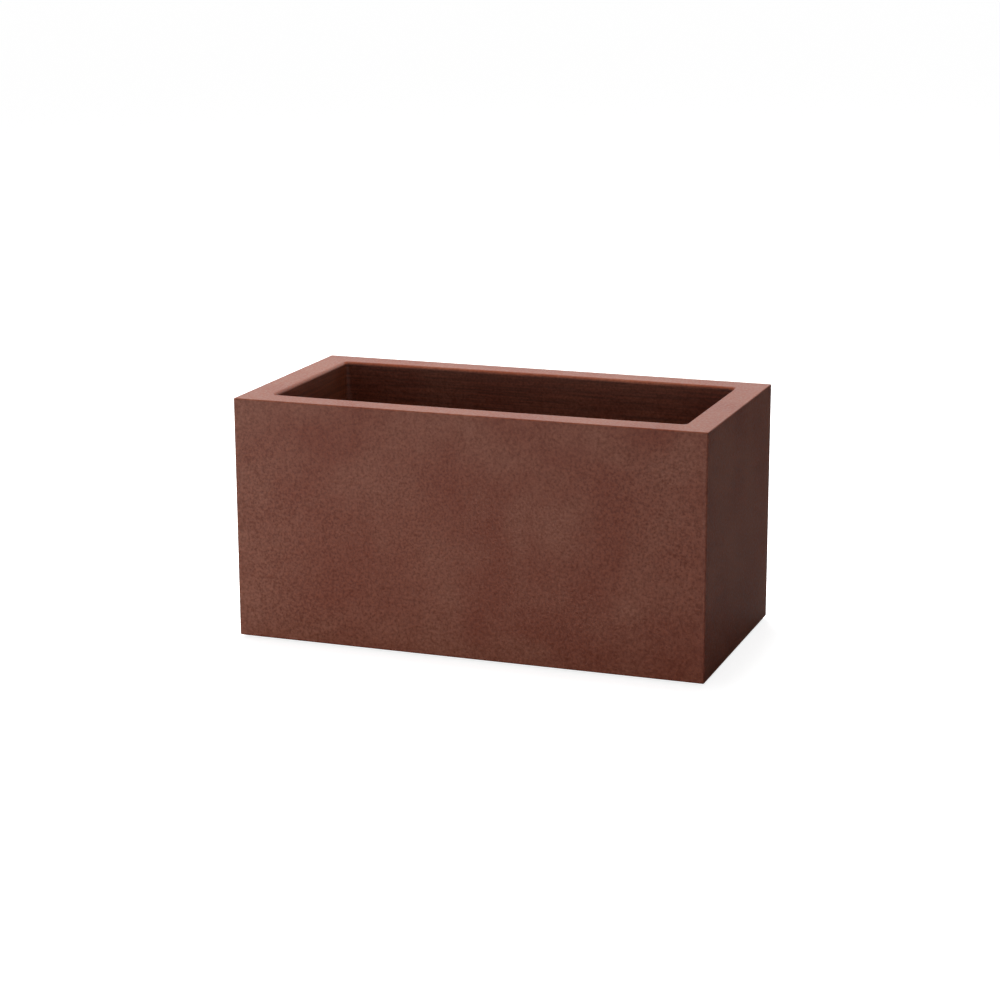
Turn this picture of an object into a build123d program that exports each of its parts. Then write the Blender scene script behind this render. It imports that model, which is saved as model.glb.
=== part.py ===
from build123d import *
from math import radians, tan
import os

os.makedirs("parts", exist_ok=True)

# A rectangular planter box for streets and terraces: one hollow, double-skinned plastic moulding
# on rubber feet, with two drains, a false floor that keeps the soil out of the water, and
# threaded inserts underneath to anchor it.
#
# The frame: X runs along the length, Y from the front to the back, Z up from the ground.

# ---------------------------------------------------------------- driving dimensions, in mm
length = 795  # moulding, end to end
width = 395  # moulding, front to back
height = 400  # moulding, underside to rim
ground_gap = 5  # how far the feet hold the underside off the ground

rim_width = 50  # flat top of the hollow wall, outer face to soil space
skin = 5  # thickness of the moulded plastic
draft = 2  # degrees, taper of the soil space's walls
floor_height = 48  # underside to the floor of the soil space

corner_radius = 3  # upright outer corners
top_radius = 2  # outer edge of the rim
bottom_radius = 2.5  # edge of the underside
mouth_radius = 6  # inner edge of the rim
mouth_corner = 5  # corners of the soil space at the rim
void_corner = 3  # upright corners of the air space between the skins
floor_corner = 40  # corners of the soil space at its floor
floor_fillet = 20  # floor to wall, inside the soil space

drain_bore = 14  # radius of the outlet through both skins
seat_clearance = 4  # plug's head to the recess around it, on the radius
flange_overhang = 1  # how far the plug's head reaches past the washer
flange_height = 3
plug_stem_length = 26
plug_stem_taper = 1.2  # how much smaller the stem's radius is at its tip
plug_wall = 2.5  # thickness of the hollow stem
tab_length = 30  # finger tab on the plug's head
tab_width = 5
tab_height = 11
tab_edge = 1.5  # rounding along the top of the tab
flange_edge = 1
plug_clearance = 0.4  # stem to bore, on the radius

washer_height = 2
washer_land = 6  # width of the rubber ring
washer_clearance = 1  # outlet to the washer's bore, on the radius

foot_radius = 22
foot_inset = 60  # outer faces to the centre of a corner foot
foot_stem = 6  # radius of the stem pushed into the moulding
foot_stem_length = 14
foot_socket_clearance = 0.1
foot_socket_spare = 1  # room above the stem in its socket
foot_edge = 1  # chamfer around the sole
foot_stem_edge = 1.5  # chamfer on the stem's tip
foot_groove_width = 3
foot_groove_depth = 1.5

insert_radius = 6  # brass insert, moulded in
insert_height = 18
insert_bore = 3.4  # radius before the M8 thread is counted
insert_depth = 15
insert_neck = 4.8  # radius of the waist that the plastic grips
insert_neck_height = 5
anchor_inset_x = 117.5  # outer faces to the inserts
anchor_inset_y = 97.5

vent_radius = 8  # hole that lets the moulding breathe while it cools
vent_cap = 13
vent_cap_height = 2
vent_barb = 0.5  # how far the plug's barb reaches behind the skin
vent_barb_height = 4
vent_clearance = 0.2
vent_edge = 0.7

kiss_mouth = 16  # radius of the cones that tie the underside to the floor
kiss_tip = 8
kiss_end_inset = 50  # centre of the end cones, in from the ends of the floor

grate_thickness = 4
grate_stand = 55  # floor to the underside of the grate
grate_clearance = 3  # grate to the soil space's walls
grate_seam = 2  # between the two grates
slot_length = 34
slot_width = 4
slot_pitch_x = 44
slot_pitch_y = 14
slot_margin = 14  # edge of the grate to the nearest slot
leg_top = 11  # radius of a leg where it meets the grate
leg_tip = 8
leg_wall = 2.5
leg_vent = 3  # radius of the air hole up through a leg
leg_spigot = 6  # radius of the spigot on top of a leg
leg_clearance = 3  # leg to the floor's rounded edge, and socket to the slots
push_clearance = 0.15  # on the radius, for the pieces pushed into a grate
rib_width = 3
rib_depth = 12
grip_length = 60  # pull grip on top of each grate
grip_width = 4
grip_bead = 5  # radius of the bead along the grip's top
grip_height = 24
grip_base_width = 12
grip_base_height = 2
grip_base_margin = 5  # how far the base reaches past each end of the fin
grip_peg = 2.5  # radius of the two pegs under the base
grip_peg_inset = 8  # end of the fin to a peg
grip_edge = 1.5  # rounding on the ends of the bead

# ---------------------------------------------------------------- sizes that follow the outlet
washer_bore = drain_bore + washer_clearance
washer_radius = washer_bore + washer_land
plug_flange = washer_radius + flange_overhang
drain_seat = plug_flange + seat_clearance  # radius of the recess around the outlet

# ---------------------------------------------------------------- levels and places
underside = ground_gap
rim = underside + height
floor = underside + floor_height
seat = floor - flange_height - washer_height  # bottom of a drain recess
grate_bottom = floor + grate_stand
grate_top = grate_bottom + grate_thickness


def cavity(level, grow=0.0):
    """Length, width and corner radius of the soil space at a level, grown all round."""
    drop = rim - level
    lean = drop * tan(radians(draft))
    radius = mouth_corner + (floor_corner - mouth_corner) * drop / (rim - floor)
    half_wall = rim_width + lean - grow
    return length - 2 * half_wall, width - 2 * half_wall, radius + grow


def soil_space(bottom, grow, edge):
    """The tapered soil space, grown all round, from its floor to a skin above the rim."""
    top = rim + skin
    with BuildPart() as space:
        with BuildSketch(Plane.XY.offset(bottom)):
            RectangleRounded(*cavity(bottom, grow))
        with BuildSketch(Plane.XY.offset(top)):
            RectangleRounded(*cavity(top, grow))
        loft(ruled=True)
        fillet(space.faces().sort_by(Axis.Z)[0].edges(), edge)
    return space.part


floor_length, floor_width, _ = cavity(floor)
drain_x = floor_length / 4
drain_places = [(-drain_x, 0), (drain_x, 0)]

foot_x = length / 2 - foot_inset
foot_y = width / 2 - foot_inset
foot_places = {
    f"foot_{row}_{column}": (x, y)
    for row, y in (("front", -foot_y), ("rear", foot_y))
    for column, x in (("left", -foot_x), ("middle", 0), ("right", foot_x))
}

anchor_pitch = (length - 2 * anchor_inset_x, width - 2 * anchor_inset_y)

kiss_end = floor_length / 2 - kiss_end_inset
kiss_places = [(x, y) for x in (-drain_x / 2, drain_x / 2) for y in (-floor_width / 4, floor_width / 4)]
kiss_places += [(-kiss_end, 0), (kiss_end, 0)]

# ---------------------------------------------------------------- anchor inserts
# Four brass inserts set in the mould, flush with the underside. The waist keys them in.
with BuildPart() as insert_blank:
    waist = underside + (insert_height - insert_neck_height) / 2
    with BuildSketch(Plane.XY.offset(underside)):
        Circle(insert_radius)
    extrude(amount=insert_height)
    with BuildSketch(Plane.XY.offset(waist)):
        Circle(insert_radius)
        Circle(insert_neck, mode=Mode.SUBTRACT)
    extrude(amount=insert_neck_height, mode=Mode.SUBTRACT)

with BuildPart() as anchor_inserts:
    with GridLocations(*anchor_pitch, 2, 2):
        add(insert_blank.part)
    with BuildSketch(Plane.XY.offset(underside)):
        with GridLocations(*anchor_pitch, 2, 2):
            Circle(insert_bore)
    extrude(amount=insert_depth, mode=Mode.SUBTRACT)

anchor_inserts.part.label = "anchor_inserts"
export_step(anchor_inserts.part, "parts/anchor_inserts.step")

# ---------------------------------------------------------------- planter shell
# The air space between the skins, with everything that bridges it left solid: the sleeves
# around the drains, the bosses around the inserts and the foot sockets, and the cones.
with BuildPart() as hollow:
    with BuildSketch(Plane.XY.offset(underside + skin)):
        RectangleRounded(length - 2 * skin, width - 2 * skin, void_corner)
    extrude(amount=height - 2 * skin)
    add(soil_space(floor - skin, skin, floor_fillet + skin), mode=Mode.SUBTRACT)

    sleeve_height = seat - skin - underside
    with Locations(*[(x, y, underside) for x, y in drain_places]):
        Cone(drain_bore + skin, drain_seat + skin, sleeve_height,
             align=(Align.CENTER, Align.CENTER, Align.MIN), mode=Mode.SUBTRACT)
    with BuildSketch(Plane.XY.offset(seat - skin)):
        with Locations(*drain_places):
            Circle(drain_seat + skin)
    extrude(until=Until.LAST, mode=Mode.SUBTRACT)

    with Locations(*[(x, y, underside) for x, y in kiss_places]):
        Cone(kiss_mouth + skin, kiss_tip + skin, floor_height,
             align=(Align.CENTER, Align.CENTER, Align.MIN), mode=Mode.SUBTRACT)

    with BuildSketch(Plane.XY.offset(underside)):
        with GridLocations(*anchor_pitch, 2, 2):
            Circle(insert_radius + skin)
    extrude(amount=insert_height + skin, mode=Mode.SUBTRACT)

    with BuildSketch(Plane.XY.offset(underside)):
        with Locations(*foot_places.values()):
            Circle(foot_stem + skin)
    extrude(amount=foot_stem_length + foot_socket_spare + skin, mode=Mode.SUBTRACT)

with BuildPart() as planter_shell:
    with BuildSketch(Plane.XY.offset(underside)):
        RectangleRounded(length, width, corner_radius)
    extrude(amount=height)
    fillet(planter_shell.faces().sort_by(Axis.Z)[0].edges(), bottom_radius)
    fillet(planter_shell.faces().sort_by(Axis.Z)[-1].edges(), top_radius)

    # the soil space and the rounded inner edge of its rim
    add(soil_space(floor, 0, floor_fillet), mode=Mode.SUBTRACT)
    rim_face = planter_shell.faces().sort_by(Axis.Z)[-1]
    fillet(rim_face.inner_wires()[0].edges(), mouth_radius)

    add(hollow.part, mode=Mode.SUBTRACT)

    # drains: a recess in the floor for the plug's head, and the outlet through both skins
    with BuildSketch(Plane.XY.offset(seat)):
        with Locations(*drain_places):
            Circle(drain_seat)
    extrude(amount=floor - seat, mode=Mode.SUBTRACT)
    with BuildSketch(Plane.XY.offset(underside)):
        with Locations(*drain_places):
            Circle(drain_bore)
    extrude(amount=floor - underside, mode=Mode.SUBTRACT)

    # the inside of each tie cone is a dent in the underside
    with Locations(*[(x, y, underside) for x, y in kiss_places]):
        Cone(kiss_mouth, kiss_tip, floor_height - skin,
             align=(Align.CENTER, Align.CENTER, Align.MIN), mode=Mode.SUBTRACT)

    # inserts, foot sockets and the vent hole
    with GridLocations(*anchor_pitch, 2, 2):
        add(insert_blank.part, mode=Mode.SUBTRACT)
    with BuildSketch(Plane.XY.offset(underside)):
        with Locations(*foot_places.values()):
            Circle(foot_stem + foot_socket_clearance)
    extrude(amount=foot_stem_length + foot_socket_spare, mode=Mode.SUBTRACT)
    with BuildSketch(Plane.XY.offset(underside)):
        Circle(vent_radius)
    extrude(amount=skin, mode=Mode.SUBTRACT)

planter_shell.part.label = "planter_shell"
export_step(planter_shell.part, "parts/planter_shell.step")

# ---------------------------------------------------------------- vent plug
# A cap under the vent hole, on a hollow stem whose barb snaps in behind the skin.
with BuildPart() as vent_plug:
    vent_stem = vent_radius - vent_clearance
    with BuildSketch(Plane.XY.offset(underside - vent_cap_height)):
        Circle(vent_cap)
    extrude(amount=vent_cap_height)
    fillet(vent_plug.faces().sort_by(Axis.Z)[0].edges(), vent_edge)
    with BuildSketch(Plane.XY.offset(underside)):
        Circle(vent_stem)
    extrude(amount=skin + vent_clearance)
    with Locations((0, 0, underside + skin + vent_clearance)):
        Cone(vent_radius + vent_barb, vent_radius - 2 * vent_barb, vent_barb_height,
             align=(Align.CENTER, Align.CENTER, Align.MIN))
    with BuildSketch(Plane.XY.offset(underside)):
        Circle(vent_stem - plug_wall)
    extrude(until=Until.LAST, mode=Mode.SUBTRACT)

vent_plug.part.label = "vent_plug"
export_step(vent_plug.part, "parts/vent_plug.step")

# ---------------------------------------------------------------- feet
# Rubber pads with a cross-cut sole. The stem pushes up into a socket in the underside.
for foot_name, (foot_cx, foot_cy) in foot_places.items():
    sole = Plane((foot_cx, foot_cy, 0))
    with BuildPart() as foot:
        with BuildSketch(sole):
            Circle(foot_radius)
        extrude(amount=ground_gap)
        chamfer(foot.faces().sort_by(Axis.Z)[0].edges(), foot_edge)
        with BuildSketch(sole.offset(ground_gap)):
            Circle(foot_stem)
        extrude(amount=foot_stem_length)
        chamfer(foot.faces().sort_by(Axis.Z)[-1].edges(), foot_stem_edge)
        with BuildSketch(sole):
            Rectangle(2 * foot_radius, foot_groove_width)
            Rectangle(foot_groove_width, 2 * foot_radius)
        extrude(amount=foot_groove_depth, mode=Mode.SUBTRACT)

    foot.part.label = foot_name
    export_step(foot.part, f"parts/{foot_name}.step")

# ---------------------------------------------------------------- drain plugs and washers
# A plug is pushed down into its outlet from inside the box and pulled out by its tab.
for side, centre_x in (("left", -drain_x), ("right", drain_x)):
    flange_plane = Plane((centre_x, 0, seat + washer_height))
    with BuildPart() as drain_plug:
        with BuildSketch(flange_plane):
            Circle(plug_flange)
        extrude(amount=flange_height)
        fillet(drain_plug.faces().sort_by(Axis.Z)[-1].edges(), flange_edge)
        with BuildSketch(flange_plane.offset(flange_height)):
            SlotOverall(tab_length, tab_width)
        extrude(amount=tab_height)
        fillet(drain_plug.faces().sort_by(Axis.Z)[-1].edges(), tab_edge)
        stem_radius = drain_bore - plug_clearance
        with BuildSketch(flange_plane):
            Circle(stem_radius)
        with BuildSketch(flange_plane.offset(-plug_stem_length)):
            Circle(stem_radius - plug_stem_taper)
        loft()
        with BuildSketch(flange_plane):
            Circle(stem_radius - plug_wall)
        with BuildSketch(flange_plane.offset(-plug_stem_length)):
            Circle(stem_radius - plug_stem_taper - plug_wall)
        loft(mode=Mode.SUBTRACT)

    drain_plug.part.label = f"drain_plug_{side}"
    export_step(drain_plug.part, f"parts/drain_plug_{side}.step")

    with BuildPart() as drain_washer:
        with BuildSketch(Plane((centre_x, 0, seat))):
            Circle(washer_radius)
            Circle(washer_bore, mode=Mode.SUBTRACT)
        extrude(amount=washer_height)

    drain_washer.part.label = f"drain_washer_{side}"
    export_step(drain_washer.part, f"parts/drain_washer_{side}.step")

# ---------------------------------------------------------------- soil grates
# Two slotted panels on push-in legs, side by side, hold the soil above the drained water.
# They are cut from one outline, the soil space's own at their level, less a clearance.
grate_length, grate_width, grate_corner = cavity(grate_bottom, -grate_clearance)
panel_length = (grate_length - grate_seam) / 2
panel_x = (panel_length + grate_seam) / 2

# legs stand on the flat of the floor, inside its rounded edge
leg_inset = floor_fillet + leg_tip + leg_clearance
leg_reach_x = floor_length / 2 - leg_inset - panel_x
leg_reach_y = floor_width / 2 - leg_inset
leg_places = [(x, y) for x in (-leg_reach_x, 0, leg_reach_x) for y in (-leg_reach_y, leg_reach_y)]

leg_socket = leg_top + push_clearance
socket_ring = leg_socket + rib_width
peg_places = [(-grip_length / 2 + grip_peg_inset, 0), (grip_length / 2 - grip_peg_inset, 0)]

slot_columns = int((panel_length - 2 * slot_margin - slot_length) / slot_pitch_x) + 1
slot_rows = int((grate_width - 2 * slot_margin - slot_width) / slot_pitch_y) + 1


def slot_is_clear(x, y):
    """Whether a slot at this place on a panel misses the legs' sockets and the grip."""
    reach_x = slot_length / 2
    reach_y = slot_width / 2
    grip_reach = grip_length / 2 + grip_base_margin
    under_grip = abs(x) < reach_x + grip_reach and abs(y) < reach_y + grip_base_width / 2
    socket_reach = leg_socket + leg_clearance
    near_leg = [
        abs(x - leg_x) < reach_x + socket_reach and abs(y - leg_y) < reach_y + socket_reach
        for leg_x, leg_y in leg_places
    ]
    return not under_grip and not any(near_leg)


slot_grid = [
    ((column - (slot_columns - 1) / 2) * slot_pitch_x, (row - (slot_rows - 1) / 2) * slot_pitch_y)
    for column in range(slot_columns)
    for row in range(slot_rows)
]
slot_places = [place for place in slot_grid if slot_is_clear(*place)]

for side, panel_cx in (("left", -panel_x), ("right", panel_x)):
    under_panel = Plane((panel_cx, 0, grate_bottom))
    on_panel = Plane((panel_cx, 0, grate_top))
    on_floor = Plane((panel_cx, 0, floor))

    with BuildPart() as soil_grate:
        with BuildSketch(Plane.XY.offset(grate_bottom)):
            RectangleRounded(grate_length, grate_width, grate_corner)
            with Locations((panel_cx, 0)):
                Rectangle(panel_length, grate_width, mode=Mode.INTERSECT)
        extrude(amount=grate_thickness)

        # ribs along and across the panel, ending in a ring around the top of each leg
        with BuildSketch(under_panel):
            with Locations((0, -leg_reach_y), (0, leg_reach_y)):
                Rectangle(2 * leg_reach_x, rib_width)
            with Locations((-leg_reach_x, 0), (0, 0), (leg_reach_x, 0)):
                Rectangle(rib_width, 2 * leg_reach_y)
            with Locations(*leg_places):
                Circle(socket_ring)
                Circle(leg_socket, mode=Mode.SUBTRACT)
        extrude(amount=-rib_depth)

        # slots, and the holes for the legs' spigots and the grip's pegs
        with BuildSketch(under_panel):
            with Locations(*slot_places):
                SlotOverall(slot_length, slot_width)
            with Locations(*leg_places):
                Circle(leg_spigot + push_clearance)
            with Locations(*peg_places):
                Circle(grip_peg + push_clearance)
        extrude(amount=grate_thickness, mode=Mode.SUBTRACT)

    soil_grate.part.label = f"soil_grate_{side}"
    export_step(soil_grate.part, f"parts/soil_grate_{side}.step")

    # six hollow tapered legs, open at the foot, each with a spigot pushed up into the panel
    with BuildPart() as grate_legs:
        with Locations(*[(panel_cx + x, y, floor) for x, y in leg_places]):
            Cone(leg_tip, leg_top, grate_stand, align=(Align.CENTER, Align.CENTER, Align.MIN))
            Cone(leg_tip - leg_wall, leg_top - leg_wall, grate_stand - leg_wall,
                 align=(Align.CENTER, Align.CENTER, Align.MIN), mode=Mode.SUBTRACT)
        with BuildSketch(under_panel):
            with Locations(*leg_places):
                Circle(leg_spigot)
        extrude(amount=grate_thickness)
        with BuildSketch(on_floor):
            with Locations(*leg_places):
                Circle(leg_vent)
        extrude(amount=grate_stand + grate_thickness, mode=Mode.SUBTRACT)

    grate_legs.part.label = f"grate_legs_{side}"
    export_step(grate_legs.part, f"parts/grate_legs_{side}.step")

    # the pull grip: a fin with a bead along its top, on a base with two pegs
    with BuildPart() as grate_grip:
        with BuildSketch(on_panel):
            SlotOverall(grip_length + 2 * grip_base_margin, grip_base_width)
        extrude(amount=grip_base_height)
        with BuildSketch(on_panel):
            Rectangle(grip_length, grip_width)
        extrude(amount=grip_height)
        bead_start = Plane((panel_cx - grip_length / 2, 0, grate_top + grip_height), z_dir=(1, 0, 0))
        with BuildSketch(bead_start):
            Circle(grip_bead)
        extrude(amount=grip_length)
        fillet(grate_grip.faces().filter_by(Axis.X).edges().filter_by(GeomType.CIRCLE), grip_edge)
        with BuildSketch(under_panel):
            with Locations(*peg_places):
                Circle(grip_peg)
        extrude(amount=grate_thickness)

    grate_grip.part.label = f"grate_grip_{side}"
    export_step(grate_grip.part, f"parts/grate_grip_{side}.step")
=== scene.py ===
from math import cos, pi, radians, sin, tan

import bmesh
import bpy
from mathutils import Euler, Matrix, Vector


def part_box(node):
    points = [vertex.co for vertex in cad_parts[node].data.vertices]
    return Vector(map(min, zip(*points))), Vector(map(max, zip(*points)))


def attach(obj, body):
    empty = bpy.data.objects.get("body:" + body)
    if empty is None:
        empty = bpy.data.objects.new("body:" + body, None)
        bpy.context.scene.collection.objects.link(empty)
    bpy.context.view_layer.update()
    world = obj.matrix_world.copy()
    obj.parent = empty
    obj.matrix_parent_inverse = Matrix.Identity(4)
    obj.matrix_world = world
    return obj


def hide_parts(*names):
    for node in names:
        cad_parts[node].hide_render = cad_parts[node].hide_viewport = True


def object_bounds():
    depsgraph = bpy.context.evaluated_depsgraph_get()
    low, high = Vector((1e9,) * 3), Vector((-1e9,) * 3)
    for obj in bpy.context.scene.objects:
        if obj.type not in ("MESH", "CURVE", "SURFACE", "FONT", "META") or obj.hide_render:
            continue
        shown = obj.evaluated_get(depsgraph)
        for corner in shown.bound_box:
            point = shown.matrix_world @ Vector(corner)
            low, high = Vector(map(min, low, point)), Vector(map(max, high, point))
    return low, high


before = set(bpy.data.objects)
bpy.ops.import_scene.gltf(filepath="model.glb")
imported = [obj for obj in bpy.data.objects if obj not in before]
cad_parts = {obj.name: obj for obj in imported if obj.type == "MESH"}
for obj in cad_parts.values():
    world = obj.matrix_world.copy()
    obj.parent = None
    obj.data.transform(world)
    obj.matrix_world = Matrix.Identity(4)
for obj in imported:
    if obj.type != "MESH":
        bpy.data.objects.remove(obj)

cad_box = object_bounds()

# ------------------------------------------------------------------ planter shell
# The box itself, one hollow moulding in rust-brown polyethylene. The powder melts onto the inside of
# a closed, turning mould, so the skins run on without a seam, every edge is rounded, the wide faces
# sink a little as they cool, and the pigment stays faintly mottled.
shell_low, shell_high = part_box("planter_shell")
rim_width = 0.050
draft_angle = 2  # degrees that the soil space's walls lean in
draft = tan(radians(draft_angle))
soil_floor = shell_low.z + 0.048
corner_radius = 0.003
top_radius = 0.002
bottom_radius = 0.0025
mouth_radius = 0.006
mouth_corner = 0.005
floor_corner = 0.040
floor_fillet = 0.020
face_sink = 0.0012  # how far the middle of an outer face sinks in
mouth_bow = 0.004  # how far the long sides of the mouth bow towards the outside
mouth_bow_depth = 0.16

corner_steps = 10
long_steps = 44
short_steps = 22


def wall_inset(z):
    """From the outer faces to the soil space's wall, at a height."""
    return rim_width + (shell_high.z - z) * draft


def wall_corner(z):
    """Corner radius of the soil space at a height."""
    depth = (shell_high.z - z) / (shell_high.z - soil_floor)
    return mouth_corner + (floor_corner - mouth_corner) * depth


def between(start, end, steps):
    """Evenly spaced values after start, up to and including end."""
    return [start + (end - start) * step / steps for step in range(1, steps + 1)]


def edge_arc(inset, z, radius, first, last, steps=7):
    """Points round an edge, as (inset, height), from the first angle to the last, in degrees."""
    angles = [first] + between(first, last, steps)
    return [(inset + radius * cos(radians(a)), z + radius * sin(radians(a))) for a in angles]


# The section through one wall, as (inset from the outer faces, height, corner radius, face sink,
# mouth bow), from the underside round the outside, over the rim and down to the soil space's floor.
stations = []
for inset in (0.060, 0.020, bottom_radius + 0.002):
    stations.append((inset, shell_low.z, corner_radius - bottom_radius, 0, 0))
for inset, z in edge_arc(bottom_radius, shell_low.z + bottom_radius, bottom_radius, 270, 180):
    stations.append((inset, z, corner_radius - inset, 0, 0))
outer_foot = shell_low.z + bottom_radius
outer_top = shell_high.z - top_radius
for z in between(outer_foot, outer_top, 16)[:-1]:
    share = (z - outer_foot) / (outer_top - outer_foot)
    stations.append((0, z, corner_radius, 4 * share * (1 - share), 0))
for inset, z in edge_arc(top_radius, outer_top, top_radius, 180, 90):
    stations.append((inset, z, corner_radius - inset, 0, 0))
lean = radians(draft_angle)
mouth_z = shell_high.z - mouth_radius
mouth_inset = wall_inset(mouth_z) - mouth_radius / cos(lean)
mouth_edge_corner = mouth_corner + rim_width - mouth_inset
for share in (0.05, 0.35, 0.65, 0.95):
    inset = top_radius + (mouth_inset - top_radius) * share
    corner = corner_radius - top_radius + (mouth_edge_corner - corner_radius + top_radius) * share
    stations.append((inset, shell_high.z, corner, 0, share * share))
for inset, z in edge_arc(mouth_inset, mouth_z, mouth_radius, 90, 2):
    stations.append((inset, z, wall_corner(z) + wall_inset(z) - inset, 0, 1))
curve_z = soil_floor + floor_fillet
curve_inset = wall_inset(curve_z) + floor_fillet / cos(lean)
wall_top = mouth_z + mouth_radius * sin(lean)
wall_foot = curve_z - floor_fillet * sin(lean)
for z in between(wall_top, wall_foot, 16)[:-1]:
    fade = max(0, 1 - (wall_top - z) / mouth_bow_depth)
    stations.append((wall_inset(z), z, wall_corner(z), 0, fade * fade * (3 - 2 * fade)))
for inset, z in edge_arc(curve_inset, curve_z, floor_fillet, 182, 270):
    stations.append((inset, z, wall_corner(z) + wall_inset(z) - inset, 0, 0))
stations.append((curve_inset + 0.002, soil_floor, floor_corner - floor_fillet - 0.001, 0, 0))


def loop_at(inset, z, corner, sink, bow):
    """One closed loop of the box, anticlockwise from above: corner, long side, corner, short side."""
    half_x, half_y = shell_high.x - inset, shell_high.y - inset
    turn = []
    for quarter, (side_x, side_y) in enumerate(((1, 1), (-1, 1), (-1, -1), (1, -1))):
        for step in range(corner_steps + 1):
            angle = pi / 2 * (quarter + step / corner_steps)
            turn.append((side_x * (half_x - corner) + corner * cos(angle),
                         side_y * (half_y - corner) + corner * sin(angle)))
    loop = []
    for index, (x, y) in enumerate(turn):
        loop.append((x, y))
        if index % (corner_steps + 1) == corner_steps:
            next_x, next_y = turn[(index + 1) % len(turn)]
            runs = long_steps if index // (corner_steps + 1) % 2 == 0 else short_steps
            for share in between(0, 1, runs)[:-1]:
                loop.append((x + (next_x - x) * share, y + (next_y - y) * share))
    points = []
    for x, y in loop:
        along, across = 1 - (x / half_x) ** 2, 1 - (y / half_y) ** 2
        out_y = mouth_bow * bow * along - face_sink * sink * along
        out_x = -face_sink * sink * across
        points.append((x + out_x * x / half_x, y + out_y * y / half_y, z))
    return points


def mesh_object(name, mesh):
    """A new object holding a mesh, put in the scene."""
    made = bpy.data.objects.new(name, mesh)
    bpy.context.scene.collection.objects.link(made)
    return made


def from_bmesh(name, built):
    """A bmesh as a new object, with its normals pointing out."""
    mesh = bpy.data.meshes.new(name)
    bmesh.ops.recalc_face_normals(built, faces=built.faces)
    built.to_mesh(mesh)
    built.free()
    return mesh_object(name, mesh)


skin_mesh = bmesh.new()
rings = [[skin_mesh.verts.new(p) for p in loop_at(*station)] for station in stations]
for lower, upper in zip(rings, rings[1:]):
    for i in range(len(lower)):
        j = (i + 1) % len(lower)
        skin_mesh.faces.new((lower[i], lower[j], upper[j], upper[i]))
skin_mesh.faces.new(reversed(rings[0]))
skin_mesh.faces.new(rings[-1])
shell = from_bmesh("planter_shell_moulding", skin_mesh)


def turned(built, outline, places, sides=48):
    """Adds solids turned on upright axes: outline is (radius, height) pairs, from axis to axis."""
    for x, y in places:
        rows = []
        for radius, z in outline:
            count = sides if radius > 0 else 1
            rows.append([built.verts.new((x + radius * cos(2 * pi * k / sides),
                                          y + radius * sin(2 * pi * k / sides), z)) for k in range(count)])
        for low, high in zip(rows, rows[1:]):
            for k in range(sides):
                ends = [low[k % len(low)], low[(k + 1) % sides % len(low)],
                        high[(k + 1) % sides % len(high)], high[k % len(high)]]
                built.faces.new(list(dict.fromkeys(ends)))


def centres(nodes):
    """Where the middles of some CAD nodes are, seen from above."""
    ends = [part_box(node) for node in nodes]
    return [((low.x + high.x) / 2, (low.y + high.y) / 2) for low, high in ends]


# What is cut into the moulding: the drains' recesses and outlets, the cones that tie the underside
# to the floor, the vent hole, the pockets of the inserts and the sockets of the feet.
drain_places = centres(["drain_plug_left", "drain_plug_right"])
drain_x = drain_places[1][0]
foot_names = [f"foot_{row}_{column}" for row in ("front", "rear") for column in ("left", "middle", "right")]
insert_low, insert_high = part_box("anchor_inserts")
insert_radius = 0.006
insert_places = [(x, y) for x in (insert_low.x + insert_radius, insert_high.x - insert_radius)
                 for y in (insert_low.y + insert_radius, insert_high.y - insert_radius)]
outlet_radius = 0.014
recess_radius = 0.026
recess_depth = 0.005
vent_radius = 0.008
vent_depth = 0.011
insert_length = 0.018
stem_radius = 0.0061
stem_depth = 0.015
floor_skin = 0.005  # left between a tie cone's tip and the floor
end_cone_inset = 0.050  # from the end of the floor to the tie cone nearest to it
seat_z = soil_floor - recess_depth
under = shell_low.z
past = 0.001  # how far a cutter reaches past the face that it opens
cutter_mesh = bmesh.new()
turned(cutter_mesh, ((0, under - past), (outlet_radius, under - past), (outlet_radius, seat_z),
                     (recess_radius, seat_z), (recess_radius, soil_floor + past),
                     (0, soil_floor + past)), drain_places, sides=96)
cone_top = soil_floor - floor_skin
floor_half_x = shell_high.x - wall_inset(soil_floor)
floor_half_y = shell_high.y - wall_inset(soil_floor)
cone_places = [(x, y) for x in (-drain_x / 2, drain_x / 2) for y in (-floor_half_y / 2, floor_half_y / 2)]
cone_places += [(-(floor_half_x - end_cone_inset), 0), (floor_half_x - end_cone_inset, 0)]
turned(cutter_mesh, ((0, under - past), (0.0185, under - past), (0.0175, under), (0.0163, under + 0.0012),
                     (0.0155, under + 0.004), (0.0092, cone_top - 0.003), (0.0078, cone_top - 0.0008),
                     (0.006, cone_top), (0, cone_top)), cone_places, sides=64)
for radius, depth, places in ((vent_radius, vent_depth, [(0, 0)]),
                              (insert_radius, insert_length, insert_places),
                              (stem_radius, stem_depth, centres(foot_names))):
    turned(cutter_mesh, ((0, under - past), (radius, under - past), (radius, under + depth),
                         (0, under + depth)), places)
cutter = from_bmesh("moulding_cutter", cutter_mesh)


def baked_down(made):
    """Turns an object with modifiers into a plain mesh object of the same name."""
    graph = bpy.context.evaluated_depsgraph_get()
    mesh = bpy.data.meshes.new_from_object(made.evaluated_get(graph), depsgraph=graph)
    made.modifiers.clear()
    made.data = mesh
    return made


cut = shell.modifiers.new("cut", "BOOLEAN")
cut.operation = "DIFFERENCE"
cut.solver = "EXACT"
cut.object = cutter
baked_down(shell)
bpy.data.objects.remove(cutter)

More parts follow.
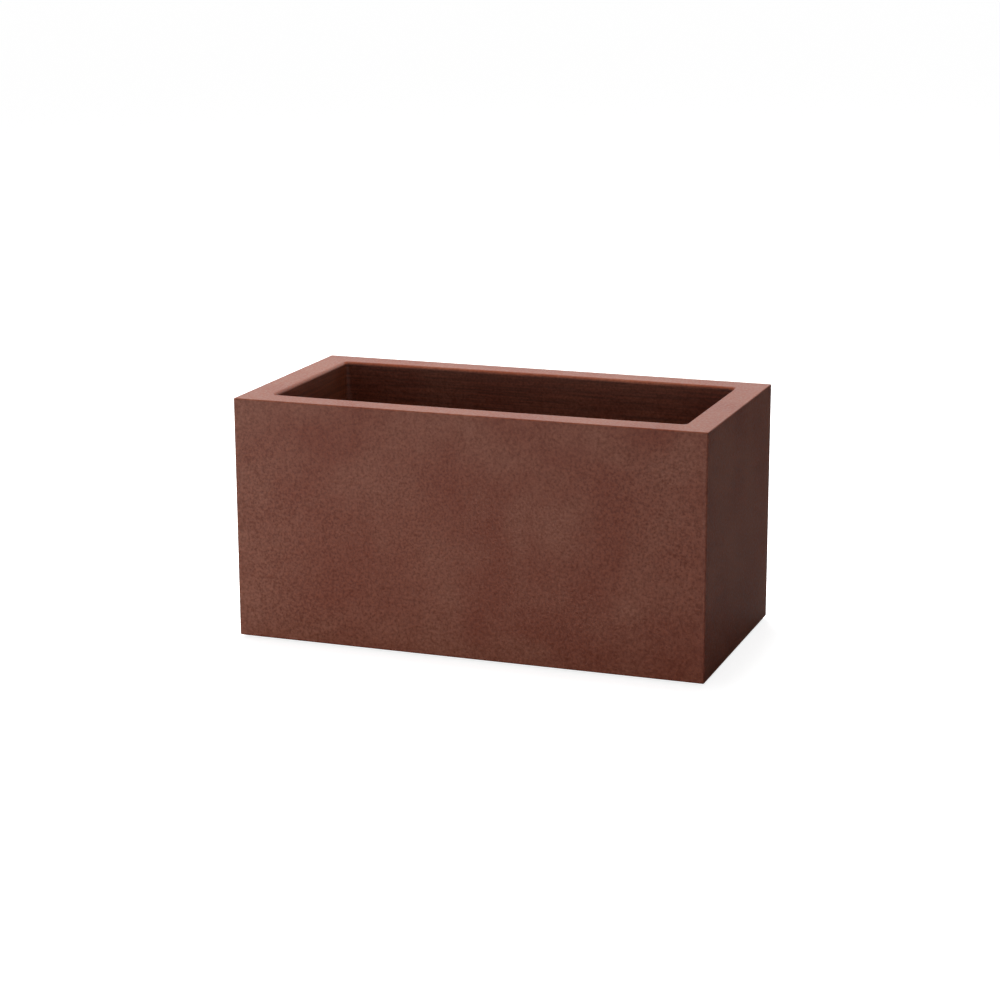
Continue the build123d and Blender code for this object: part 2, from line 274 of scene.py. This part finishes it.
# The cut leaves a few triangles with no area in the underside, which are taken out.
merge_distance = 0.00001
clean_mesh = bmesh.new()
clean_mesh.from_mesh(shell.data)
bmesh.ops.remove_doubles(clean_mesh, verts=clean_mesh.verts, dist=merge_distance)
bmesh.ops.dissolve_degenerate(clean_mesh, edges=clean_mesh.edges, dist=merge_distance)
clean_mesh.to_mesh(shell.data)
clean_mesh.free()


def smooth_but_for_edges(made, angle):
    """Smooth shading that breaks at sharp edges and keeps flat faces flat."""
    made.data.shade_smooth()
    made.data.set_sharp_from_angle(angle=radians(angle))
    weighted = made.modifiers.new("weighted", "WEIGHTED_NORMAL")
    weighted.keep_sharp = True
    baked_down(made)


smooth_but_for_edges(shell, 35)


def put(tree, kind, settings=None, **sockets):
    """Adds a shader node. A socket is named by its name or identifier, and takes a value or a link."""
    made = tree.nodes.new(kind)
    for key, value in (settings or {}).items():
        setattr(made, key, value)
    for key, value in sockets.items():
        named = [s for s in made.inputs if key in (s.identifier, s.name.replace(" ", "_"))]
        if isinstance(value, bpy.types.NodeSocket):
            tree.links.new(value, named[0])
        else:
            named[0].default_value = value
    return made


def remap(tree, value, **limits):
    """A value's share of From_Min to From_Max, as To_Min to To_Max. Each is 0 or 1 if not given."""
    return put(tree, "ShaderNodeMapRange", Value=value, **limits).outputs[0]


def group_tree(name, inputs, outputs):
    """An empty shader group with float, vector or colour sockets, and its two end nodes."""
    tree = bpy.data.node_groups.new(name, "ShaderNodeTree")
    for label, kind, value in inputs:
        made = tree.interface.new_socket(label, in_out="INPUT", socket_type=kind)
        if value is not None:
            made.default_value = value
    for label, kind in outputs:
        tree.interface.new_socket(label, in_out="OUTPUT", socket_type=kind)
    return tree, tree.nodes.new("NodeGroupInput"), tree.nodes.new("NodeGroupOutput")


# Moulded plastic, shared by every plastic and rubber piece: soft clouds where the pigment gathers,
# specks of a few millimetres, and the pebbled surface that the mould leaves. Scales are per metre.
moulded, moulded_in, moulded_out = group_tree(
    "moulded_surface",
    [("Vector", "NodeSocketVector", None), ("Cloud Scale", "NodeSocketFloat", 9),
     ("Speck Scale", "NodeSocketFloat", 140), ("Grain Scale", "NodeSocketFloat", 620)],
    [("Clouds", "NodeSocketFloat"), ("Specks", "NodeSocketFloat"), ("Height", "NodeSocketFloat")])
place = moulded_in.outputs["Vector"]
clouds = put(moulded, "ShaderNodeTexNoise", Vector=place, Scale=moulded_in.outputs["Cloud Scale"],
             Detail=4.0, Roughness=0.5, Distortion=0.4)
specks = put(moulded, "ShaderNodeTexNoise", Vector=place, Scale=moulded_in.outputs["Speck Scale"],
             Detail=2.0, Roughness=0.6)
grain = put(moulded, "ShaderNodeTexNoise", Vector=place, Scale=moulded_in.outputs["Grain Scale"],
            Detail=2.0, Roughness=0.5)
cloud_mask = remap(moulded, clouds.outputs[0], From_Min=0.36, From_Max=0.64)
speck_mask = remap(moulded, specks.outputs[0], From_Min=0.3, From_Max=0.7)
height = put(moulded, "ShaderNodeMix", {"data_type": "FLOAT"}, Factor_Float=0.35,
             A_Float=speck_mask, B_Float=grain.outputs[0])
moulded.links.new(cloud_mask, moulded_out.inputs["Clouds"])
moulded.links.new(speck_mask, moulded_out.inputs["Specks"])
moulded.links.new(height.outputs[0], moulded_out.inputs["Height"])


def new_material(name):
    """An empty node material, with its tree and its Principled shader."""
    made = bpy.data.materials.new(name)
    made.use_nodes = True
    made.node_tree.nodes.clear()
    shader = put(made.node_tree, "ShaderNodeBsdfPrincipled")
    put(made.node_tree, "ShaderNodeOutputMaterial", Surface=shader.outputs[0])
    return made, made.node_tree, shader


def blend_colour(tree, share, first, second, kind="MIX"):
    """The colour output of two colours mixed by a share. A colour is three numbers or a link."""
    ends = [end if isinstance(end, bpy.types.NodeSocket) else (*end, 1) for end in (first, second)]
    return put(tree, "ShaderNodeMix", {"data_type": "RGBA", "blend_type": kind}, Factor_Float=share,
               A_Color=ends[0], B_Color=ends[1]).outputs[2]


def surface(tree, shader, colour, roughness, height, strength, distance):
    """Feeds a Principled shader a colour, a roughness, and a height through a bump node."""
    bump = put(tree, "ShaderNodeBump", Height=height, Strength=strength, Distance=distance)
    tree.links.new(colour, shader.inputs["Base Color"])
    tree.links.new(roughness, shader.inputs["Roughness"])
    tree.links.new(bump.outputs[0], shader.inputs["Normal"])


# Rust brown: redder and browner clouds, a darker and a lighter speck, and inside the mouth the faint
# level streaks that the shrinking skin drags along the core of the mould.
rust, rust_tree, rust_shader = new_material("rust_brown_moulding")
rust_place = put(rust_tree, "ShaderNodeTexCoord").outputs["Object"]
rust_surface = put(rust_tree, "ShaderNodeGroup", {"node_tree": moulded}, Vector=rust_place,
                   Cloud_Scale=7.0, Speck_Scale=240.0, Grain_Scale=700.0)
rust_clouds = blend_colour(rust_tree, rust_surface.outputs["Clouds"],
                           (0.138, 0.0380, 0.0180), (0.119, 0.0230, 0.0078))
rust_specks = blend_colour(rust_tree, rust_surface.outputs["Specks"],
                           (0.73, 0.62, 0.50), (1.27, 1.38, 1.50))
rust_even = blend_colour(rust_tree, 1.0, rust_clouds, rust_specks, "MULTIPLY")
rust_axes = put(rust_tree, "ShaderNodeSeparateXYZ", Vector=rust_place)
rust_across = put(rust_tree, "ShaderNodeMath", {"operation": "ABSOLUTE"}, Value=rust_axes.outputs["Y"])
rust_along = put(rust_tree, "ShaderNodeMath", {"operation": "ABSOLUTE"}, Value=rust_axes.outputs["X"])
rust_core_y = remap(rust_tree, rust_across.outputs[0], From_Min=0.153, From_Max=0.150)
rust_core_x = remap(rust_tree, rust_along.outputs[0], From_Min=0.350, From_Max=0.347)
rust_inside = put(rust_tree, "ShaderNodeMath", {"operation": "MULTIPLY"}, Value=rust_core_y)
rust_tree.links.new(rust_core_x, rust_inside.inputs[1])
rust_drag = put(rust_tree, "ShaderNodeTexNoise", Scale=1.0, Detail=3.0, Roughness=0.6,
                Vector=put(rust_tree, "ShaderNodeMapping", Vector=rust_place, Scale=(7, 7, 260)).outputs[0])
rust_streak = remap(rust_tree, rust_drag.outputs[0], From_Min=0.35, From_Max=0.65)
rust_dragged = blend_colour(rust_tree, rust_streak, (0.70, 0.68, 0.68), (1.30, 1.32, 1.32))
rust_lines = blend_colour(rust_tree, rust_inside.outputs[0], (1, 1, 1), rust_dragged)
rust_colour = blend_colour(rust_tree, 1.0, rust_even, rust_lines, "MULTIPLY")
rust_rough = remap(rust_tree, rust_surface.outputs["Specks"], To_Min=0.34, To_Max=0.54)
surface(rust_tree, rust_shader, rust_colour, rust_rough, rust_surface.outputs["Height"], 0.5, 0.0004)
rust_shader.inputs["IOR"].default_value = 1.5
shell.data.materials.clear()
shell.data.materials.append(rust)
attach(shell, "shell")
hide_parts("planter_shell")

# ------------------------------------------------------------------ anchor inserts
# Four brass inserts with an M8 thread, set in the mould before it is filled and gripped by their
# waists. Only their turned ends and the threads in their bores show, in the underside.
insert_bore = 0.0034
thread_pitch = 0.00125
thread_depth = 0.00035
insert_depth = 0.015
insert_pitch = (insert_high.x - insert_low.x - 2 * insert_radius,
                insert_high.y - insert_low.y - 2 * insert_radius)

brass, brass_tree, brass_shader = new_material("turned_brass")
brass_place = put(brass_tree, "ShaderNodeTexCoord").outputs["Object"]
brass_folded = put(brass_tree, "ShaderNodeVectorMath", {"operation": "ABSOLUTE"}, Vector=brass_place)
brass_centred = put(brass_tree, "ShaderNodeMapping", Vector=brass_folded.outputs[0],
                    Location=(-insert_pitch[0] / 2, -insert_pitch[1] / 2, 0))
brass_rings = put(brass_tree, "ShaderNodeTexWave", {"wave_type": "RINGS", "rings_direction": "Z"},
                  Vector=brass_centred.outputs[0], Scale=800.0, Distortion=1.5, Detail=2.0)
brass_tarnish = put(brass_tree, "ShaderNodeTexNoise", Vector=brass_place, Scale=260.0, Detail=4.0)
brass_colour = blend_colour(brass_tree, brass_tarnish.outputs[0], (0.46, 0.30, 0.10), (0.72, 0.53, 0.24))
brass_rough = remap(brass_tree, brass_tarnish.outputs[0], To_Min=0.22, To_Max=0.42)
surface(brass_tree, brass_shader, brass_colour, brass_rough, brass_rings.outputs[1], 0.3, 0.00005)
brass_shader.inputs["Metallic"].default_value = 1.0


def finish_node(node, finish):
    """Gives a CAD node's object a material."""
    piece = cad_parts[node]
    if not piece.material_slots:
        piece.data.materials.append(finish)
    for entry in piece.material_slots:
        entry.material = finish


finish_node("anchor_inserts", brass)


def nodes_tree(name, inputs):
    """An empty Geometry Nodes tree with named inputs, and its two end nodes."""
    tree = bpy.data.node_groups.new(name, "GeometryNodeTree")
    for label, kind, value in inputs:
        tree.interface.new_socket(label, in_out="INPUT", socket_type=kind).default_value = value
    tree.interface.new_socket("Geometry", in_out="OUTPUT", socket_type="NodeSocketGeometry")
    return tree, tree.nodes.new("NodeGroupInput").outputs, tree.nodes.new("NodeGroupOutput")


def end_tree(tree, instances, finish, ending):
    """Ends a tree: instances made real, shaded smooth, in a material."""
    real = put(tree, "GeometryNodeRealizeInstances", Geometry=instances)
    smooth = put(tree, "GeometryNodeSetShadeSmooth", Geometry=real.outputs[0])
    coated = put(tree, "GeometryNodeSetMaterial", Geometry=smooth.outputs[0], Material=finish)
    tree.links.new(coated.outputs[0], ending.inputs["Geometry"])


def grown(name, tree, **values):
    """A plain mesh object that a tree makes, with the tree's inputs set by their names."""
    made = mesh_object(name, bpy.data.meshes.new(name))
    grow = made.modifiers.new("grow", "NODES")
    grow.node_group = tree
    for item in tree.interface.items_tree:
        if item.in_out == "INPUT" and item.name.replace(" ", "_") in values:
            grow[item.identifier] = values[item.name.replace(" ", "_")]
    return baked_down(made)


# One thread is a spiral with a three-sided section, and the four stand on the corners of a grid.
threads, threads_in, threads_out = nodes_tree("insert_threads", [
    ("Bore", "NodeSocketFloat", 0.003), ("Depth", "NodeSocketFloat", 0.01),
    ("Turns", "NodeSocketFloat", 8.0), ("Ridge", "NodeSocketFloat", 0.0003),
    ("Pitch X", "NodeSocketFloat", 0.1), ("Pitch Y", "NodeSocketFloat", 0.1),
    ("Level", "NodeSocketVector", (0, 0, 0))])
thread_line = put(threads, "GeometryNodeCurveSpiral", Resolution=32, Rotations=threads_in["Turns"],
                  Start_Radius=threads_in["Bore"], End_Radius=threads_in["Bore"], Height=threads_in["Depth"])
thread_section = put(threads, "GeometryNodeCurvePrimitiveCircle", Resolution=3, Radius=threads_in["Ridge"])
thread_solid = put(threads, "GeometryNodeCurveToMesh", Curve=thread_line.outputs[0],
                   Profile_Curve=thread_section.outputs[0], Fill_Caps=True)
thread_grid = put(threads, "GeometryNodeMeshGrid", Size_X=threads_in["Pitch X"], Size_Y=threads_in["Pitch Y"],
                  Vertices_X=2, Vertices_Y=2)
thread_spots = put(threads, "GeometryNodeTransform", Geometry=thread_grid.outputs[0],
                   Translation=threads_in["Level"])
thread_set = put(threads, "GeometryNodeInstanceOnPoints", Points=thread_spots.outputs[0],
                 Instance=thread_solid.outputs[0])
end_tree(threads, thread_set.outputs[0], brass, threads_out)
thread_length = insert_depth - 2 * thread_pitch
thread_set_mesh = grown("insert_threads", threads, Bore=insert_bore, Depth=thread_length,
                        Turns=thread_length / thread_pitch, Ridge=thread_depth,
                        Pitch_X=insert_pitch[0], Pitch_Y=insert_pitch[1], Level=(0, 0, under + thread_pitch))
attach(thread_set_mesh, "shell")

# ------------------------------------------------------------------ feet
# Six black rubber pads with a cross cut in the sole, pushed into the underside by their stems. The
# rubber is matt and slightly bloomed, paler where the bloom is thick.
rubber, rubber_tree, rubber_shader = new_material("foot_rubber")
rubber_place = put(rubber_tree, "ShaderNodeTexCoord").outputs["Object"]
rubber_surface = put(rubber_tree, "ShaderNodeGroup", {"node_tree": moulded}, Vector=rubber_place,
                     Cloud_Scale=45.0, Speck_Scale=420.0, Grain_Scale=1500.0)
rubber_bloom = blend_colour(rubber_tree, rubber_surface.outputs["Clouds"],
                            (0.016, 0.016, 0.016), (0.034, 0.033, 0.031))
rubber_specks = blend_colour(rubber_tree, rubber_surface.outputs["Specks"],
                             (0.8, 0.8, 0.8), (1.2, 1.2, 1.2))
rubber_colour = blend_colour(rubber_tree, 1.0, rubber_bloom, rubber_specks, "MULTIPLY")
rubber_rough = remap(rubber_tree, rubber_surface.outputs["Clouds"], To_Min=0.72, To_Max=0.88)
surface(rubber_tree, rubber_shader, rubber_colour, rubber_rough, rubber_surface.outputs["Height"],
        0.4, 0.0002)
for foot in foot_names:
    finish_node(foot, rubber)

# ------------------------------------------------------------------ drain plugs and vent plug
# Black polyethylene bungs. A drain plug has a finger tab to pull it out by, with ridges along both
# faces, and three soft rings round its stem that close the outlet. The vent plug snaps in for good.
plug_plastic, plug_tree, plug_shader = new_material("plug_plastic")
plug_place = put(plug_tree, "ShaderNodeTexCoord").outputs["Object"]
plug_surface = put(plug_tree, "ShaderNodeGroup", {"node_tree": moulded}, Vector=plug_place,
                   Cloud_Scale=60.0, Speck_Scale=700.0, Grain_Scale=2400.0)
plug_tone = blend_colour(plug_tree, plug_surface.outputs["Clouds"],
                         (0.024, 0.024, 0.025), (0.036, 0.036, 0.037))
plug_specks = blend_colour(plug_tree, plug_surface.outputs["Specks"],
                           (0.85, 0.85, 0.85), (1.15, 1.15, 1.15))
plug_colour = blend_colour(plug_tree, 1.0, plug_tone, plug_specks, "MULTIPLY")
plug_rough = remap(plug_tree, plug_surface.outputs["Specks"], To_Min=0.34, To_Max=0.46)
surface(plug_tree, plug_shader, plug_colour, plug_rough, plug_surface.outputs["Height"], 0.3, 0.0001)
for plug in ("drain_plug_left", "drain_plug_right", "vent_plug"):
    finish_node(plug, plug_plastic)

# The rings, and later the ridges of the grips, are circles swept round a circle and set in a row.
rings, rings_in, rings_out = nodes_tree("row_of_rings", [
    ("Ring Radius", "NodeSocketFloat", 0.01), ("Wire Radius", "NodeSocketFloat", 0.001),
    ("Count", "NodeSocketInt", 3), ("Start", "NodeSocketVector", (0, 0, 0)),
    ("Step", "NodeSocketVector", (0, 0, 0.01)), ("Turn", "NodeSocketRotation", (0, 0, 0)),
    ("Finish", "NodeSocketMaterial", plug_plastic)])
ring_line = put(rings, "GeometryNodeCurvePrimitiveCircle", Resolution=48, Radius=rings_in["Ring Radius"])
ring_section = put(rings, "GeometryNodeCurvePrimitiveCircle", Resolution=10, Radius=rings_in["Wire Radius"])
ring_solid = put(rings, "GeometryNodeCurveToMesh", Curve=ring_line.outputs[0],
                 Profile_Curve=ring_section.outputs[0])
ring_spots = put(rings, "GeometryNodeMeshLine", Count=rings_in["Count"], Start_Location=rings_in["Start"],
                 Offset=rings_in["Step"])
ring_set = put(rings, "GeometryNodeInstanceOnPoints", Points=ring_spots.outputs[0],
               Instance=ring_solid.outputs[0], Rotation=rings_in["Turn"])
end_tree(rings, ring_set.outputs[0], rings_in["Finish"], rings_out)

# The ridges of a tab are short rods, laid in rows up both of its faces.
ridges, ridges_in, ridges_out = nodes_tree("tab_ridges", [
    ("Length", "NodeSocketFloat", 0.02), ("Rod Radius", "NodeSocketFloat", 0.0005),
    ("Spread", "NodeSocketFloat", 0.005), ("Rise", "NodeSocketFloat", 0.006), ("Rows", "NodeSocketInt", 3),
    ("Middle", "NodeSocketVector", (0, 0, 0))])
ridge_half = put(ridges, "ShaderNodeMath", {"operation": "MULTIPLY"}, Value=ridges_in["Length"])
ridge_half.inputs[1].default_value = 0.5
ridge_back = put(ridges, "ShaderNodeMath", {"operation": "MULTIPLY"}, Value=ridges_in["Length"])
ridge_back.inputs[1].default_value = -0.5
ridge_line = put(ridges, "GeometryNodeCurvePrimitiveLine",
                 Start=put(ridges, "ShaderNodeCombineXYZ", X=ridge_back.outputs[0]).outputs[0],
                 End=put(ridges, "ShaderNodeCombineXYZ", X=ridge_half.outputs[0]).outputs[0])
ridge_section = put(ridges, "GeometryNodeCurvePrimitiveCircle", Resolution=8, Radius=ridges_in["Rod Radius"])
ridge_solid = put(ridges, "GeometryNodeCurveToMesh", Curve=ridge_line.outputs[0],
                  Profile_Curve=ridge_section.outputs[0], Fill_Caps=True)
ridge_grid = put(ridges, "GeometryNodeMeshGrid", Size_X=ridges_in["Rise"], Size_Y=ridges_in["Spread"],
                 Vertices_X=ridges_in["Rows"], Vertices_Y=2)
ridge_spots = put(ridges, "GeometryNodeTransform", Geometry=ridge_grid.outputs[0],
                  Translation=ridges_in["Middle"], Rotation=(0, pi / 2, 0))
ridge_set = put(ridges, "GeometryNodeInstanceOnPoints", Points=ridge_spots.outputs[0],
                Instance=ridge_solid.outputs[0])
end_tree(ridges, ridge_set.outputs[0], plug_plastic, ridges_out)

plug_head = seat_z + recess_depth  # top of a plug's head, level with the floor of the soil space
tab_width = 0.022
tab_height = 0.011
tab_thickness = 0.0050
tab_ridge_radius = 0.0006
tab_ridge_rise = 0.006  # from the lowest ridge to the highest
tab_ridge_drop = 0.0005  # how far below the middle of the tab their middle is
seal_radius = 0.0131
seal_wire = 0.0007
first_seal = 0.004  # how far the first ring is below the washer's seat
seal_pitch = 0.005
for side, (plug_x, plug_y) in zip(("left", "right"), drain_places):
    seals = grown(f"plug_seal_rings_{side}", rings, Ring_Radius=seal_radius, Wire_Radius=seal_wire,
                  Count=3, Start=(plug_x, plug_y, seat_z - first_seal), Step=(0, 0, -seal_pitch),
                  Finish=plug_plastic)
    tab_ridges = grown(f"plug_tab_ridges_{side}", ridges, Length=tab_width, Rod_Radius=tab_ridge_radius,
                       Spread=tab_thickness, Rise=tab_ridge_rise, Rows=4,
                       Middle=(plug_x, plug_y, plug_head + tab_height / 2 - tab_ridge_drop))
    for piece in (seals, tab_ridges):
        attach(piece, f"{side}_plug")

# ------------------------------------------------------------------ drain washers
# Flat rings cut from black rubber sheet, one under each plug's head. The sheet's cloth weave is
# pressed into both faces.
washer_rubber, washer_tree, washer_shader = new_material("washer_rubber")
washer_place = put(washer_tree, "ShaderNodeTexCoord").outputs["Object"]
washer_surface = put(washer_tree, "ShaderNodeGroup", {"node_tree": moulded}, Vector=washer_place,
                     Cloud_Scale=80.0, Speck_Scale=500.0, Grain_Scale=1800.0)
weave_along, weave_across = [
    put(washer_tree, "ShaderNodeTexWave", {"bands_direction": axis}, Vector=washer_place, Scale=260.0)
    for axis in ("X", "Y")]
weave = put(washer_tree, "ShaderNodeMath", {"operation": "MULTIPLY"}, Value=weave_along.outputs[1])
washer_tree.links.new(weave_across.outputs[1], weave.inputs[1])
washer_colour = blend_colour(washer_tree, washer_surface.outputs["Clouds"],
                             (0.020, 0.019, 0.018), (0.032, 0.030, 0.028))
washer_rough = remap(washer_tree, washer_surface.outputs["Specks"], To_Min=0.66, To_Max=0.82)
surface(washer_tree, washer_shader, washer_colour, washer_rough, weave.outputs[0], 0.5, 0.0001)
for washer in ("drain_washer_left", "drain_washer_right"):
    finish_node(washer, washer_rubber)

# ------------------------------------------------------------------ soil grates, legs and grips
# The false floor: two slotted panels, each on six push-in legs, with a grip to lift it by. They are
# injection moulded in black recycled polypropylene, which shows flow marks and pale specks.
grate_plastic, grate_tree, grate_shader = new_material("grate_plastic")
grate_place = put(grate_tree, "ShaderNodeTexCoord").outputs["Object"]
grate_surface = put(grate_tree, "ShaderNodeGroup", {"node_tree": moulded}, Vector=grate_place,
                    Cloud_Scale=22.0, Speck_Scale=380.0, Grain_Scale=1300.0)
flow_place = put(grate_tree, "ShaderNodeMapping", Vector=grate_place, Scale=(10, 60, 20))
flow_marks = put(grate_tree, "ShaderNodeTexNoise", Vector=flow_place.outputs[0], Scale=1.0, Detail=4.0,
                 Roughness=0.6, Distortion=1.2)
flow_mask = remap(grate_tree, flow_marks.outputs[0], From_Min=0.4, From_Max=0.7)
grate_tone = blend_colour(grate_tree, flow_mask, (0.015, 0.015, 0.016), (0.030, 0.030, 0.031))
pale_specks = put(grate_tree, "ShaderNodeTexNoise", Vector=grate_place, Scale=900.0, Detail=1.0)
pale_mask = remap(grate_tree, pale_specks.outputs[0], From_Min=0.70, From_Max=0.76)
grate_colour = blend_colour(grate_tree, pale_mask, grate_tone, (0.09, 0.09, 0.088))
grate_rough = remap(grate_tree, flow_mask, To_Min=0.42, To_Max=0.56)
surface(grate_tree, grate_shader, grate_colour, grate_rough, grate_surface.outputs["Height"],
        0.4, 0.0002)

bead_radius = 0.005
ridge_radius = 0.0005
ridge_pitch = 0.005
ridge_count = 10
for side in ("left", "right"):
    for node in ("soil_grate", "grate_legs", "grate_grip"):
        finish_node(f"{node}_{side}", grate_plastic)
    grip_low, grip_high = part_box(f"grate_grip_{side}")
    first_ridge = (grip_low.x + grip_high.x) / 2 - ridge_pitch * (ridge_count - 1) / 2
    grip_ridges = grown(f"grip_ridges_{side}", rings, Ring_Radius=bead_radius, Wire_Radius=ridge_radius,
                        Count=ridge_count, Start=(first_ridge, 0, grip_high.z - bead_radius),
                        Step=(ridge_pitch, 0, 0), Turn=(0, pi / 2, 0), Finish=grate_plastic)
    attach(grip_ridges, f"{side}_grate")

# ------------------------------------------------------------------ studio
# A plain pale floor under soft light, and the camera. The floor and the backdrop are near white to the
# eye, and darker to the light that they throw back, as in a room with black flags round the table.
floor_size = 80
floor_mesh = bmesh.new()
bmesh.ops.create_grid(floor_mesh, x_segments=1, y_segments=1, size=floor_size / 2)
studio_floor = from_bmesh("studio_floor", floor_mesh)
floor_material, floor_tree, floor_shader = new_material("studio_floor")
floor_path = put(floor_tree, "ShaderNodeLightPath")
floor_ray = floor_path.outputs["Is Camera Ray"]
floor_dark = blend_colour(floor_tree, floor_path.outputs["Is Glossy Ray"],
                          (0.55, 0.55, 0.55), (0.04, 0.04, 0.04))
floor_colour = blend_colour(floor_tree, floor_ray, floor_dark, (0.60, 0.60, 0.60))
floor_tree.links.new(floor_colour, floor_shader.inputs["Base Color"])
floor_shader.inputs["Roughness"].default_value = 0.9
floor_shader.inputs["Emission Color"].default_value = (0.8, 0.8, 0.8, 1)
floor_tree.links.new(floor_ray, floor_shader.inputs["Emission Strength"])
studio_floor.data.materials.append(floor_material)

world = bpy.data.worlds.new("studio")
world.use_nodes = True
world_tree = world.node_tree
sky = world_tree.nodes["Background"]
sky.inputs["Color"].default_value = (1, 1, 1, 1)
direction = put(world_tree, "ShaderNodeSeparateXYZ",
                Vector=put(world_tree, "ShaderNodeTexCoord").outputs["Generated"])
band = put(world_tree, "ShaderNodeValToRGB", Fac=direction.outputs["Z"])
sky_stops = ((0.0, 1.0), (0.10, 0.90), (0.25, 0.45), (0.50, 0.26))  # sine of the elevation, brightness
for stop, (height, level) in enumerate(sky_stops):
    element = band.color_ramp.elements[0] if stop == 0 else band.color_ramp.elements.new(height)
    element.position = height
    element.color = (level, level, level, 1)
band.color_ramp.elements.remove(band.color_ramp.elements[-1])  # the stop that a new ramp ends in
sky_path = put(world_tree, "ShaderNodeLightPath")
glossed = put(world_tree, "ShaderNodeMix", {"data_type": "FLOAT"}, A_Float=band.outputs["Color"],
              B_Float=0.30, Factor_Float=sky_path.outputs["Is Glossy Ray"])
seen = put(world_tree, "ShaderNodeMix", {"data_type": "FLOAT"}, A_Float=glossed.outputs[0],
           B_Float=1.0, Factor_Float=sky_path.outputs["Is Camera Ray"])
world_tree.links.new(seen.outputs[0], sky.inputs["Strength"])
bpy.context.scene.world = world
bpy.context.scene.view_settings.view_transform = "Standard"


def softbox(name, azimuth, elevation, distance, width, height, power):
    """An area light that looks at the box from a direction, in degrees as for the camera."""
    light = bpy.data.lights.new(name, "AREA")
    light.shape = "RECTANGLE"
    light.size, light.size_y = width, height
    light.energy = power
    made = bpy.data.objects.new(name, light)
    a, e = radians(azimuth), radians(elevation)
    towards = Vector((sin(a) * cos(e), -cos(a) * cos(e), sin(e)))
    made.location = (cad_box[0] + cad_box[1]) / 2 + towards * distance
    made.rotation_euler = towards.to_track_quat("Z", "Y").to_euler()
    made.visible_camera = False
    bpy.context.scene.collection.objects.link(made)
    return made


# The key light and the top light only light the box: neither shows as a glare on its edges.
softbox("key_light", -24, -2, 1.7, 2.6, 0.36, 15).visible_glossy = False
softbox("side_light", -58, 1, 4.0, 1.6, 0.8, 42)
softbox("top_light", 221, 73, 3.4, 1.5, 1.5, 250).visible_glossy = False
softbox("back_light", 200, 24, 2.0, 2.4, 0.8, 7.0)

camera_data = bpy.data.cameras.new("camera")
camera_data.sensor_width = 36
camera_data.lens = 90.0
camera_data.clip_end = 200
camera = bpy.data.objects.new("camera", camera_data)
bpy.context.scene.collection.objects.link(camera)
camera_azimuth, camera_elevation, camera_roll = radians(20.03), radians(14.05), radians(-0.21)
camera_distance = 4.143
aim_left, aim_up = 0.0097, 0.0178  # from the middle of the box to where the camera points
back = Vector((sin(camera_azimuth) * cos(camera_elevation), -cos(camera_azimuth) * cos(camera_elevation),
               sin(camera_elevation)))
right = Vector((cos(camera_azimuth), sin(camera_azimuth), 0))
up = back.cross(right)
aim = (cad_box[0] + cad_box[1]) / 2 - aim_left * right + aim_up * up
camera.location = aim + back * camera_distance
camera.rotation_euler = (back.to_track_quat("Z", "Y").to_matrix()
                         @ Euler((0, 0, camera_roll)).to_matrix()).to_euler()
bpy.context.scene.camera = camera
